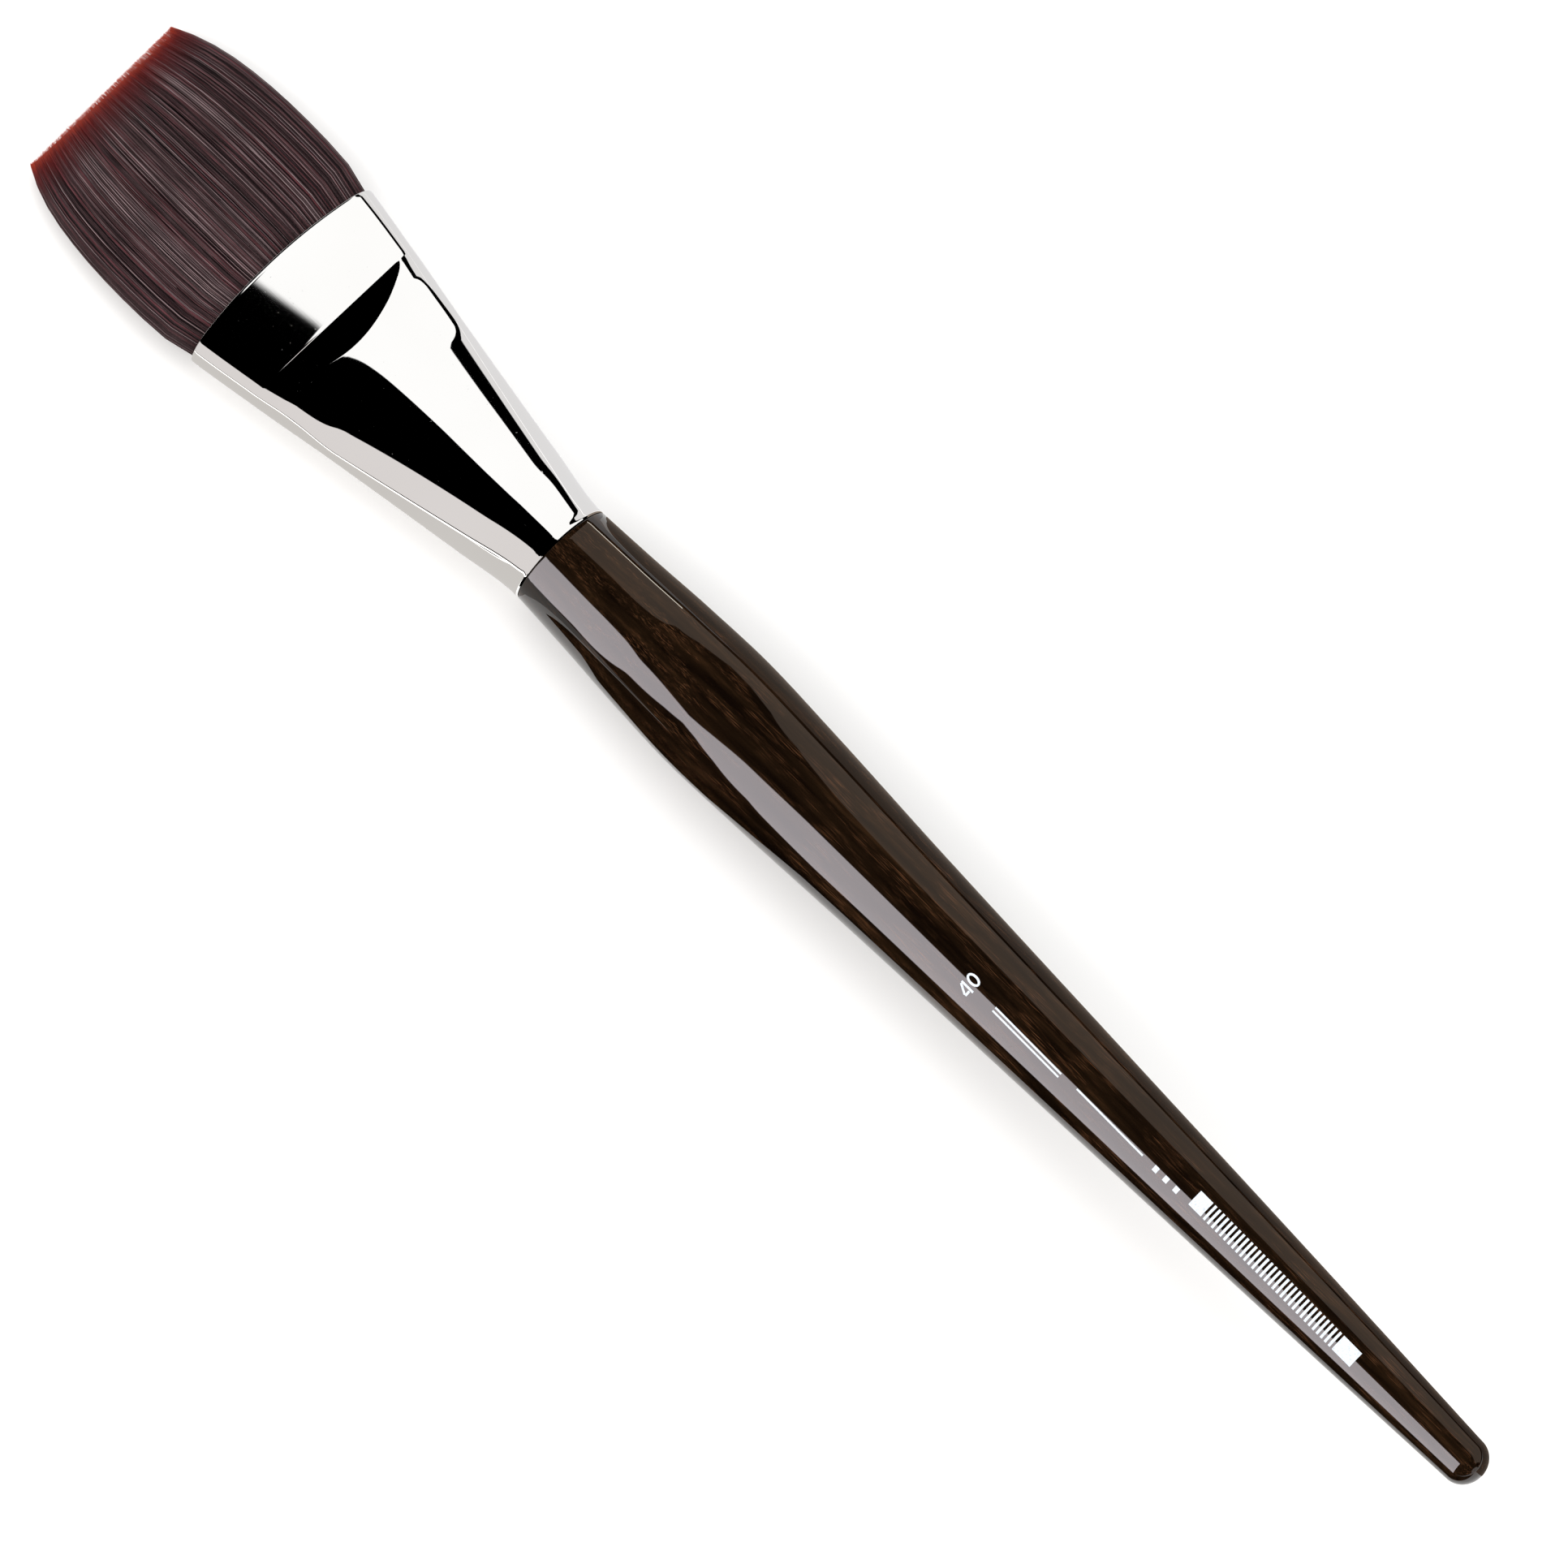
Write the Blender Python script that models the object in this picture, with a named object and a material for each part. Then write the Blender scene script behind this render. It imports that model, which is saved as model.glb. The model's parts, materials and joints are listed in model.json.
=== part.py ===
"""A flat artist's paint brush, lying on a table: turned handle, pressed metal ferrule and a springy filament tuft.

Metres, +Z up, the tuft towards +X and its wide side along Y. Every piece is drawn on the brush's own axis, in
stations: a station is the distance along the axis from the ferrule's handle end, positive towards the tuft. An empty
then lays the brush down on its belly and the ferrule's round end, with its lowest point on the table at z = 0.
"""

import math

import bmesh
import bpy

MM = 0.001
CLEARANCE = 0.3 * MM

# Handle: stations and radii of the turned outline, from the ferrule to the tail.
HANDLE_END = -182.9 * MM
TAIL_DOME_LENGTH = 3.2 * MM
TAIL_RADIUS = 3.58 * MM
SHOULDER_RADIUS = 8.2 * MM
HANDLE_OUTLINE = [
    (-1.2 * MM, 8.4 * MM),
    (-10.2 * MM, 8.87 * MM),
    (-20.4 * MM, 9.52 * MM),
    (-31.5 * MM, 9.92 * MM),
    (-44.8 * MM, 9.46 * MM),
    (-67.0 * MM, 8.34 * MM),
    (-101.7 * MM, 6.9 * MM),
    (-147.5 * MM, 5.03 * MM),
    (HANDLE_END + TAIL_DOME_LENGTH, TAIL_RADIUS),
]
TENON_LENGTH = 13.0 * MM
TENON_RADIUS = 7.5 * MM
TENON_END_RADIUS = 6.3 * MM
TENON_CHAMFER = 0.8 * MM

# Ferrule: a round tube pressed flat at its mouth. Half its width and half its thickness, station by station.
FERRULE_WALL = 0.45 * MM
MOUTH = 58.5 * MM
MOUTH_BOW = 1.2 * MM
BARREL_END = 1.4 * MM
ROUND_END = 9.2 * MM
PRESS_START = 41.1 * MM
PRESS_END = 46.0 * MM
ELLIPSE_END = 30.0 * MM
LIP_LENGTH = 0.5 * MM
LIP_HEIGHT = 0.15 * MM
FERRULE_HALF_WIDTH = [
    (0.0, 8.3 * MM),
    (BARREL_END, 8.36 * MM),
    (10.6 * MM, 9.82 * MM),
    (33.6 * MM, 13.58 * MM),
    (47.3 * MM, 15.95 * MM),
    (MOUTH, 17.45 * MM),
]
MOUTH_HALF_THICKNESS = 3.5 * MM
FERRULE_HALF_THICKNESS = [
    (0.0, 8.3 * MM),
    (BARREL_END, 8.3 * MM),
    (ROUND_END, 7.9 * MM),
    (PRESS_START, 4.4 * MM),
    (PRESS_END, MOUTH_HALF_THICKNESS),
    (MOUTH, MOUTH_HALF_THICKNESS),
]

# Tuft: the free filaments bend about a line just outside the mouth, where their root is a half-round knuckle.
BEND_LINE = MOUTH + 1.0 * MM
KNUCKLE_RADIUS = 2.9 * MM
KNUCKLE_HALF_WIDTH = 17.1 * MM
TIP = 92.5 * MM
TIP_HALF_THICKNESS = 0.35 * MM
TUFT_FULLNESS = 0.12 * MM
TUFT_HALF_WIDTH = [
    (BEND_LINE, KNUCKLE_HALF_WIDTH),
    (62.0 * MM, 17.85 * MM),
    (69.5 * MM, 18.2 * MM),
    (74.2 * MM, 18.05 * MM),
    (81.0 * MM, 17.35 * MM),
    (85.9 * MM, 16.4 * MM),
    (90.2 * MM, 14.95 * MM),
    (TIP, 13.75 * MM),
]

# Inside the ferrule: the filaments' glued root, the thread that ties them, and the resin plug behind them.
ROOT_START = 36.0 * MM
ROOT_END = BEND_LINE - KNUCKLE_RADIUS - CLEARANCE
THREAD_START = 38.6 * MM
THREAD_TURNS = 4
THREAD_PITCH = 0.7 * MM
THREAD_DIAMETER = 0.6 * MM
THREAD_RIDGE = 0.12 * MM
PLUG_START = 24.0 * MM
PLUG_END = ROOT_START - CLEARANCE

# The angle between the brush's axis and the table.
RESTING_TILT = math.radians(3.4)

ROUND_POINTS = 48
FLAT_POINTS = 64


def smooth(outline, station):
    """The outline's value at a station, on a smooth curve that never overshoots the outline's own points."""
    points = sorted(outline)
    if station <= points[0][0]:
        return points[0][1]
    if station >= points[-1][0]:
        return points[-1][1]
    slopes = [(b[1] - a[1]) / (b[0] - a[0]) for a, b in zip(points, points[1:])]

    def tangent(i):
        if i == 0:
            return slopes[0]
        if i == len(slopes):
            return slopes[-1]
        before, after = slopes[i - 1], slopes[i]
        return 2 * before * after / (before + after) if before * after > 0 else 0.0

    i = max(k for k, point in enumerate(points[:-1]) if point[0] <= station)
    span = points[i + 1][0] - points[i][0]
    t = (station - points[i][0]) / span
    return (
        (2 * t**3 - 3 * t**2 + 1) * points[i][1]
        + (t**3 - 2 * t**2 + t) * span * tangent(i)
        + (3 * t**2 - 2 * t**3) * points[i + 1][1]
        + (t**3 - t**2) * span * tangent(i + 1)
    )


def steps(start, end, count):
    """Evenly spaced stations from start to end, both included."""
    return [start + (end - start) * i / count for i in range(count + 1)]


def section(half_width, half_thickness, count, roundness=0.0):
    """Points (y, z) round a flat oval, two straight sides joined by half circles; roundness 1 makes it an ellipse."""
    straight = max(half_width - half_thickness, 0.0)
    arc = math.pi / 2 * half_thickness
    quarter = straight + arc
    points = []
    for i in range(count):
        side, along = divmod(4 * i / count, 1)
        share = along if side % 2 == 0 else 1 - along
        angle = min(quarter * share / half_thickness, math.pi / 2)
        oval_y = straight + half_thickness * math.cos(angle) - max(quarter * share - arc, 0.0)
        oval_z = half_thickness * math.sin(angle)
        y = oval_y + roundness * (half_width * math.cos(math.pi / 2 * share) - oval_y)
        z = oval_z + roundness * (half_thickness * math.sin(math.pi / 2 * share) - oval_z)
        points.append((y if side in (0, 3) else -y, z if side < 2 else -z))
    return points


def bowed(station, y, half_width):
    """The ferrule's mouth is a shallow arc: its middle reaches the full station and its corners lie further back."""
    press = min(max((station - PRESS_END) / (MOUTH - PRESS_END), 0.0), 1.0)
    return station - press * MOUTH_BOW * (y / half_width) ** 2


def loft(name, rings, material, parent, closed_ends=True):
    """A skin through rings of points that run from the tail's side to the tuft's; the ends are capped or left open."""
    shape = bmesh.new()
    loops = [[shape.verts.new(point) for point in ring] for ring in rings]
    for near, far in zip(loops, loops[1:]):
        for i, vertex in enumerate(near):
            following = (i + 1) % len(near)
            shape.faces.new((vertex, near[following], far[following], far[i]))
    if closed_ends:
        shape.faces.new(reversed(loops[0]))
        shape.faces.new(loops[-1])
    bmesh.ops.recalc_face_normals(shape, faces=shape.faces)
    mesh = bpy.data.meshes.new(name)
    shape.to_mesh(mesh)
    shape.free()
    mesh.shade_smooth()
    mesh.set_sharp_from_angle(angle=math.radians(30))
    mesh.materials.append(material)
    piece = bpy.data.objects.new(name, mesh)
    bpy.context.scene.collection.objects.link(piece)
    piece.parent = parent
    return piece


def sleeve(name, rings, wall, material, parent):
    """An open skin made into a tube wall that grows inwards."""
    piece = loft(name, rings, material, parent, closed_ends=False)
    solidify = piece.modifiers.new("wall", "SOLIDIFY")
    solidify.thickness = wall
    solidify.offset = -1.0
    solidify.use_even_offset = True
    return piece


def make_material(name, colour, roughness, metallic=0.0):
    made = bpy.data.materials.new(name)
    made.use_nodes = True
    shader = made.node_tree.nodes["Principled BSDF"]
    shader.inputs["Base Color"].default_value = (*colour, 1.0)
    shader.inputs["Roughness"].default_value = roughness
    shader.inputs["Metallic"].default_value = metallic
    return made


def ferrule_half_thickness(station):
    return smooth(FERRULE_HALF_THICKNESS, station)


def ferrule_half_width(station):
    return smooth(FERRULE_HALF_WIDTH, station)


def ferrule_roundness(station):
    """The ferrule's sections are ellipses as far as ELLIPSE_END and turn into flat ovals by PRESS_START."""
    t = min(max((PRESS_START - station) / (PRESS_START - ELLIPSE_END), 0.0), 1.0)
    return t * t * (3 - 2 * t)


def make_handle(parent):
    """A turned stick: rounded tail, belly, shoulder against the ferrule and a tapered tenon inside it."""
    outline = []
    for i in range(1, 9):
        angle = math.pi / 2 * i / 9
        outline.append(
            (HANDLE_END + TAIL_DOME_LENGTH * (1 - math.cos(angle)), TAIL_RADIUS * math.sin(angle))
        )
    body = steps(HANDLE_END + TAIL_DOME_LENGTH, HANDLE_OUTLINE[0][0], 30)
    outline += [(station, smooth(HANDLE_OUTLINE, station)) for station in body]
    outline.append((-CLEARANCE, SHOULDER_RADIUS))
    outline.append((-CLEARANCE, TENON_RADIUS))
    outline.append((TENON_LENGTH - TENON_CHAMFER, TENON_END_RADIUS))
    outline.append((TENON_LENGTH, TENON_END_RADIUS - TENON_CHAMFER))
    rings = [
        [(station, y, z) for y, z in section(radius, radius, ROUND_POINTS)] for station, radius in outline
    ]
    wood = make_material("lacquered_wood", (0.012, 0.006, 0.003), 0.12)
    return loft("handle", rings, wood, parent)


def make_ferrule(parent):
    """A seamless tube, round where it grips the handle and pressed flat where it grips the tuft."""
    stations = [0.0, LIP_LENGTH]
    stations += steps(BARREL_END, ROUND_END, 4)
    stations += steps(ROUND_END, PRESS_START, 8)[1:]
    stations += steps(PRESS_START, PRESS_END, 4)[1:]
    stations += [(PRESS_END + MOUTH) / 2, MOUTH]
    rings = []
    for station in stations:
        lip = LIP_HEIGHT if station == 0.0 else 0.0
        half_width = ferrule_half_width(station) + lip
        half_thickness = ferrule_half_thickness(station) + lip
        outline = section(half_width, half_thickness, FLAT_POINTS, ferrule_roundness(station))
        rings.append([(bowed(station, y, half_width), y, z) for y, z in outline])
    nickel = make_material("polished_nickel", (0.78, 0.77, 0.75), 0.06, 1.0)
    return sleeve("ferrule", rings, FERRULE_WALL, nickel, parent)


def make_tuft(parent, filament):
    """The free filaments as one body: a half-round knuckle on the bend line, then a wedge down to a chisel edge."""
    rings = []
    for angle in steps(math.radians(8), math.radians(90), 6)[:-1]:
        half_thickness = KNUCKLE_RADIUS * math.sin(angle)
        half_width = KNUCKLE_HALF_WIDTH - KNUCKLE_RADIUS + half_thickness
        station = -KNUCKLE_RADIUS * math.cos(angle)
        rings.append([(station, y, z) for y, z in section(half_width, half_thickness, FLAT_POINTS)])
    for station in steps(BEND_LINE, TIP, 16):
        along = (station - BEND_LINE) / (TIP - BEND_LINE)
        half_thickness = KNUCKLE_RADIUS + (TIP_HALF_THICKNESS - KNUCKLE_RADIUS) * along
        half_thickness += TUFT_FULLNESS * math.sin(math.pi * along)
        oval = section(smooth(TUFT_HALF_WIDTH, station), half_thickness, FLAT_POINTS)
        rings.append([(station - BEND_LINE, y, z) for y, z in oval])
    tuft = loft("tuft", rings, filament, parent)
    tuft.location.x = BEND_LINE
    return tuft


def inside_ferrule(station, inset):
    """A section at a station that stays inside the ferrule's wall by the clearance and a further inset."""
    margin = FERRULE_WALL + CLEARANCE + inset
    half_width = ferrule_half_width(station) - margin
    half_thickness = ferrule_half_thickness(station) - margin
    outline = section(half_width, half_thickness, ROUND_POINTS, ferrule_roundness(station))
    return [(station, y, z) for y, z in outline]


def make_tuft_root(parent, filament):
    """The filaments' clamped ends, with a waist where the thread ties them."""
    waist = THREAD_DIAMETER + CLEARANCE
    groove_start = THREAD_START - THREAD_PITCH / 2 - CLEARANCE
    groove_end = THREAD_START + (THREAD_TURNS - 0.5) * THREAD_PITCH + CLEARANCE
    bevel = 0.1 * MM
    outline = [
        (ROOT_START, 0.0),
        (groove_start - bevel, 0.0),
        (groove_start, waist),
        (groove_end, waist),
    ]
    outline += [(station, 0.0) for station in steps(groove_end + bevel, PRESS_END, 4)]
    outline.append((ROOT_END, 0.0))
    rings = [inside_ferrule(station, inset) for station, inset in outline]
    return loft("tuft_root", rings, filament, parent)


def make_binding_thread(parent):
    """Turns of thread side by side round the root's waist, as one ridged band."""
    rings = []
    for i in range(2 * THREAD_TURNS + 1):
        station = THREAD_START + (i - 1) * THREAD_PITCH / 2
        rings.append(inside_ferrule(station, THREAD_RIDGE if i % 2 == 0 else 0.0))
    cotton = make_material("waxed_thread", (0.62, 0.52, 0.36), 0.8)
    return sleeve("binding_thread", rings, THREAD_DIAMETER - THREAD_RIDGE, cotton, parent)


def make_epoxy_plug(parent):
    """The resin that was poured in behind the filaments and holds them in the ferrule."""
    rings = [inside_ferrule(station, 0.0) for station in steps(PLUG_START, PLUG_END, 3)]
    resin = make_material("amber_resin", (0.55, 0.3, 0.08), 0.25)
    return loft("epoxy_plug", rings, resin, parent)


def resting_height():
    """The height of the axis at the ferrule's handle end when the tilted brush's lowest point is on the table."""
    handle = steps(HANDLE_END + TAIL_DOME_LENGTH, HANDLE_OUTLINE[0][0], 200)
    ferrule = steps(BARREL_END, ROUND_END, 4) + [PRESS_END, MOUTH]
    under = [(station, smooth(HANDLE_OUTLINE, station)) for station in handle]
    under += [(station, ferrule_half_thickness(station)) for station in ferrule]
    under.append((0.0, ferrule_half_thickness(0.0) + LIP_HEIGHT))
    return max(station * math.sin(RESTING_TILT) + reach * math.cos(RESTING_TILT) for station, reach in under)


def make_brush():
    tip_reach = TIP * math.cos(RESTING_TILT) + TIP_HALF_THICKNESS * math.sin(RESTING_TILT)
    middle = (HANDLE_END * math.cos(RESTING_TILT) + tip_reach) / 2

    brush = bpy.data.objects.new("brush", None)
    bpy.context.scene.collection.objects.link(brush)
    brush.location = (-middle, 0.0, resting_height())
    brush.rotation_euler = (0.0, RESTING_TILT, 0.0)

    filament = make_material("synthetic_filament", (0.065, 0.035, 0.038), 0.45)
    make_handle(brush)
    make_ferrule(brush)
    make_tuft(brush, filament)
    make_tuft_root(brush, filament)
    make_binding_thread(brush)
    make_epoxy_plug(brush)


for old in list(bpy.data.objects):
    bpy.data.objects.remove(old, do_unlink=True)
make_brush()
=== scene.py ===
"""The looks of a flat artist's paint brush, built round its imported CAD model.

All lengths are in metres; +Z is up and the tuft points towards +X.
"""

import json
import math

import bpy
import numpy as np
from mathutils import Matrix, Vector


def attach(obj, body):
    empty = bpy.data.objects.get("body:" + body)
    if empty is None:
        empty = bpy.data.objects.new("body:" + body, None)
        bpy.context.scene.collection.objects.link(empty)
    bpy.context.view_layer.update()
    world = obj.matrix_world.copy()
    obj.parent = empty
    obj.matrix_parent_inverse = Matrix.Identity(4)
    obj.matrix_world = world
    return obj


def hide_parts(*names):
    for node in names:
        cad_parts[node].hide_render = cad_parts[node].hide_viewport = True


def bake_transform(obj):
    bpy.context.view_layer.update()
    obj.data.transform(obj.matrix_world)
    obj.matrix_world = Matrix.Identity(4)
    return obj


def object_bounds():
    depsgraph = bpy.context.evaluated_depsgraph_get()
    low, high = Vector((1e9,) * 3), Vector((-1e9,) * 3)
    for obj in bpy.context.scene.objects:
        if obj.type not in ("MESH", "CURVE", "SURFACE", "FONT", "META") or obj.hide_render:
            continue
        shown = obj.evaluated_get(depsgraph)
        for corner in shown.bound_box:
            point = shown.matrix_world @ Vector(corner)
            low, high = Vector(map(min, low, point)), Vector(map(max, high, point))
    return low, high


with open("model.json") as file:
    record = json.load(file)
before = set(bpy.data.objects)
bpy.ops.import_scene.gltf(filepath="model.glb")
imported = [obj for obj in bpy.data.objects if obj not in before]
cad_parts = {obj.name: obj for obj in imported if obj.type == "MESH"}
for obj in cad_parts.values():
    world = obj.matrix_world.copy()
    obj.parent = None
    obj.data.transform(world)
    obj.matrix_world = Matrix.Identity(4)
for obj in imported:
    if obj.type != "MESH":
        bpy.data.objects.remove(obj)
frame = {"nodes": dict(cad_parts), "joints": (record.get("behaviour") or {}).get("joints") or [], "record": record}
CAD_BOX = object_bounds()

MM = 0.001

# Stations run along the brush's axis from the ferrule's handle end, positive towards the tuft and negative
# towards the tail.
HANDLE_END = -182.9 * MM
TAIL_DOME_LENGTH = 3.3 * MM
TAIL_RADIUS = 3.58 * MM
HANDLE_OUTLINE = [
    (-1.2 * MM, 8.4 * MM),
    (-10.2 * MM, 8.87 * MM),
    (-20.4 * MM, 9.52 * MM),
    (-31.5 * MM, 9.92 * MM),
    (-44.8 * MM, 9.46 * MM),
    (-67.0 * MM, 8.34 * MM),
    (-101.7 * MM, 6.9 * MM),
    (-147.5 * MM, 5.03 * MM),
    (HANDLE_END + TAIL_DOME_LENGTH, TAIL_RADIUS),
]
SHOULDER_GAP = 0.06 * MM
SHOULDER_ROUND = 0.25 * MM
SHOULDER_STEP = 0.02 * MM
TENON_LENGTH = 13.0 * MM
TENON_CHAMFER = 0.8 * MM
TENON_RADIUS = 7.5 * MM
TENON_END_RADIUS = 6.3 * MM

FERRULE_WALL = 0.45 * MM
MOUTH = 58.5 * MM
MOUTH_BOW = 1.8 * MM
ROUND_END = 9.2 * MM
OVAL_START = 42.5 * MM
ELLIPSE_END = 32.0 * MM
CREASE = 46.0 * MM
BARREL_HALF_THICKNESS = 8.3 * MM
BARREL_SLOPE = 0.045
MOUTH_HALF_THICKNESS = 3.5 * MM
TAPER_SLOPE = 0.113
CROWN_SLOPE = 0.077
CROWN_LENGTH = 4.9 * MM
CROWN_HALF_WIDTH = 13.6 * MM
CROWN_FADE = 0.8 * CREASE
FERRULE_HALF_WIDTH = [
    (0.0, 8.3 * MM),
    (1.4 * MM, 8.36 * MM),
    (10.6 * MM, 9.82 * MM),
    (33.6 * MM, 13.58 * MM),
    (47.3 * MM, 15.95 * MM),
    (MOUTH, 17.45 * MM),
]

BEND_LINE = MOUTH + 1.0 * MM
TUFT_START = 55.6 * MM
TIP = 93.6 * MM
TUFT_ROOT_HALF_THICKNESS = 2.95 * MM
TIP_HALF_THICKNESS = 0.34 * MM
TIP_SKEW = 0.02
TUFT_FULLNESS = 0.12 * MM
FILAMENT_RADIUS = 0.062 * MM
# Each layer of filaments: how deep it lies under the tuft's skin, and how many filaments it has.
FILAMENT_LAYERS = [(0.07 * MM, 330), (0.17 * MM, 440), (0.31 * MM, 400)]
TUFT_HALF_WIDTH = [
    (TUFT_START, 16.4 * MM),
    (BEND_LINE, 17.2 * MM),
    (62.0 * MM, 17.9 * MM),
    (69.5 * MM, 18.2 * MM),
    (74.2 * MM, 18.15 * MM),
    (81.0 * MM, 17.65 * MM),
    (85.9 * MM, 16.85 * MM),
    (90.2 * MM, 15.6 * MM),
    (TIP, 14.4 * MM),
]

# The brush's own axes in the frame: along towards the tip, and up out of the wide side.
mount_axes = {mount["name"]: mount["axis"] for mount in frame["record"]["mounts"]}
up = Vector(mount_axes["ferrule_top_flat"]).normalized()
along = Vector((up.z, 0.0, -up.x))
bend_point = Vector(frame["joints"][0]["pos_m"])
axis_origin = bend_point - along * BEND_LINE
BRUSH_TO_FRAME = Matrix((along, (0.0, 1.0, 0.0), up)).transposed().to_4x4()
BRUSH_TO_FRAME.translation = axis_origin


def at(station, y=0.0, z=0.0):
    """A point given on the brush's own axes, in the frame."""
    return BRUSH_TO_FRAME @ Vector((station, y, z))


def smooth(outline, stations):
    """The outline's values at the stations, on a smooth curve that never overshoots the outline's points."""
    points = np.array(sorted(outline))
    x, y = points[:, 0], points[:, 1]
    slopes = np.diff(y) / np.diff(x)
    before, after = slopes[:-1], slopes[1:]
    turning = before * after > 0
    inner = np.where(turning, 2 * before * after / np.where(turning, before + after, 1.0), 0.0)
    tangents = np.concatenate([slopes[:1], inner, slopes[-1:]])
    stations = np.clip(np.asarray(stations, float), x[0], x[-1])
    i = np.clip(np.searchsorted(x, stations, side="right") - 1, 0, len(x) - 2)
    span = x[i + 1] - x[i]
    t = (stations - x[i]) / span
    return (
        (2 * t**3 - 3 * t**2 + 1) * y[i]
        + (t**3 - 2 * t**2 + t) * span * tangents[i]
        + (3 * t**2 - 2 * t**3) * y[i + 1]
        + (t**3 - t**2) * span * tangents[i + 1]
    )


def smoothstep(low, high, value):
    """A smooth rise from 0 at low to 1 at high."""
    t = np.clip((value - low) / (high - low), 0.0, 1.0)
    return t * t * (3 - 2 * t)


def oval(half_width, half_thickness, turn, roundness=0.0):
    """Points (y, z) at shares of a turn round a flat oval with half-round sides.

    A roundness of 1 makes it an ellipse.
    """
    straight = np.maximum(half_width - half_thickness, 0.0)
    arc = math.pi / 2 * half_thickness
    side = np.floor(turn * 4).astype(int) % 4
    part = turn * 4 - np.floor(turn * 4)
    share = np.where(side % 2 == 0, part, 1 - part)
    run = (straight + arc) * share
    angle = np.minimum(run / half_thickness, math.pi / 2)
    y = straight + half_thickness * np.cos(angle) - np.maximum(run - arc, 0.0)
    z = half_thickness * np.sin(angle)
    y += roundness * (half_width * np.cos(math.pi / 2 * share) - y)
    z += roundness * (half_thickness * np.sin(math.pi / 2 * share) - z)
    return np.where((side == 0) | (side == 3), y, -y), np.where(side < 2, z, -z)


def build(name, points, faces, material, body=None):
    """A mesh object from points on the brush's axes, shaded smooth."""
    mesh = bpy.data.meshes.new(name)
    mesh.from_pydata(np.asarray(points, float).reshape(-1, 3).tolist(), [], faces)
    mesh.transform(BRUSH_TO_FRAME)
    mesh.shade_smooth()
    mesh.materials.append(material)
    piece = bpy.data.objects.new(name, mesh)
    bpy.context.scene.collection.objects.link(piece)
    if body:
        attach(piece, body)
    return piece


def ring_faces(rings, count, closed=False):
    """Faces of a skin through rings of count points.

    Closed joins the last ring to the first; otherwise both end rings are capped.
    """
    ring, point = np.meshgrid(np.arange(rings if closed else rings - 1), np.arange(count), indexing="ij")
    near, far = ring * count, ((ring + 1) % rings) * count
    following = (point + 1) % count
    quads = np.stack([near + point, near + following, far + following, far + point], -1).reshape(-1, 4)
    faces = quads.tolist()
    if not closed:
        faces.append(list(range(count))[::-1])
        faces.append(list(range((rings - 1) * count, rings * count)))
    return faces


# ---------------------------------------------------------------- materials

BLACK = (0.0, 0.0, 0.0)
WHITE = (1.0, 1.0, 1.0)


class Nodes:
    """A short way to write a Principled material's node tree."""

    def __init__(self, name):
        self.material = bpy.data.materials.new(name)
        self.material.use_nodes = True
        self.tree = self.material.node_tree
        self.shader = self.tree.nodes["Principled BSDF"]

    def add(self, kind, **settings):
        node = self.tree.nodes.new(kind)
        for key, value in settings.items():
            setattr(node, key, value)
        return node

    def link(self, source, target):
        self.tree.links.new(source, target)

    def set(self, **values):
        for key, value in values.items():
            self.shader.inputs[key.replace("_", " ")].default_value = value

    def colour(self, source):
        self.link(source, self.shader.inputs["Base Color"])

    def along_grain(self, stretch):
        """Metres on the brush's axes, squeezed along it so that patterns are drawn out lengthwise."""
        place = self.add("ShaderNodeTexCoord")
        mapping = self.add("ShaderNodeMapping", vector_type="POINT")
        mapping.inputs["Rotation"].default_value = (0.0, -math.asin(up.x), 0.0)
        mapping.inputs["Scale"].default_value = (1.0 / stretch, 1.0, 1.0)
        self.link(place.outputs["Object"], mapping.inputs["Vector"])
        return mapping.outputs["Vector"]

    def noise(self, vector, scale, detail=4.0, roughness=0.5):
        noise = self.add("ShaderNodeTexNoise")
        noise.inputs["Scale"].default_value = scale
        noise.inputs["Detail"].default_value = detail
        noise.inputs["Roughness"].default_value = roughness
        self.link(vector, noise.inputs["Vector"])
        return noise.outputs["Fac"]

    def ramp(self, source, stops):
        """The colour at the source's place between stops of (position, colour)."""
        ramp = self.add("ShaderNodeValToRGB")
        elements = ramp.color_ramp.elements
        while len(elements) < len(stops):
            elements.new(0.5)
        for element, (position, colour) in zip(elements, stops):
            element.position = position
            element.color = (*colour, 1.0)
        self.link(source, ramp.inputs["Fac"])
        return ramp.outputs["Color"]

    def mix(self, factor, first, second, blend="MIX"):
        mix = self.add("ShaderNodeMix", data_type="RGBA", blend_type=blend)
        for value, socket in ((factor, mix.inputs[0]), (first, mix.inputs[6]), (second, mix.inputs[7])):
            if isinstance(value, bpy.types.NodeSocket):
                self.link(value, socket)
            elif isinstance(value, (int, float)):
                socket.default_value = value
            else:
                socket.default_value = (*value, 1.0)
        return mix.outputs[2]

    def maths(self, operation, *values):
        node = self.add("ShaderNodeMath", operation=operation)
        for value, socket in zip(values, node.inputs):
            if isinstance(value, bpy.types.NodeSocket):
                self.link(value, socket)
            else:
                socket.default_value = value
        return node.outputs[0]

    def span(self, source, low, high):
        """The source's 0 to 1 stretched to low to high."""
        node = self.add("ShaderNodeMapRange")
        node.inputs["To Min"].default_value = low
        node.inputs["To Max"].default_value = high
        self.link(source, node.inputs["Value"])
        return node.outputs["Result"]

    def bump(self, height, distance, strength, into="Normal"):
        bump = self.add("ShaderNodeBump")
        bump.inputs["Strength"].default_value = strength
        bump.inputs["Distance"].default_value = distance
        self.link(height, bump.inputs["Height"])
        self.link(bump.outputs["Normal"], self.shader.inputs[into])


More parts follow.
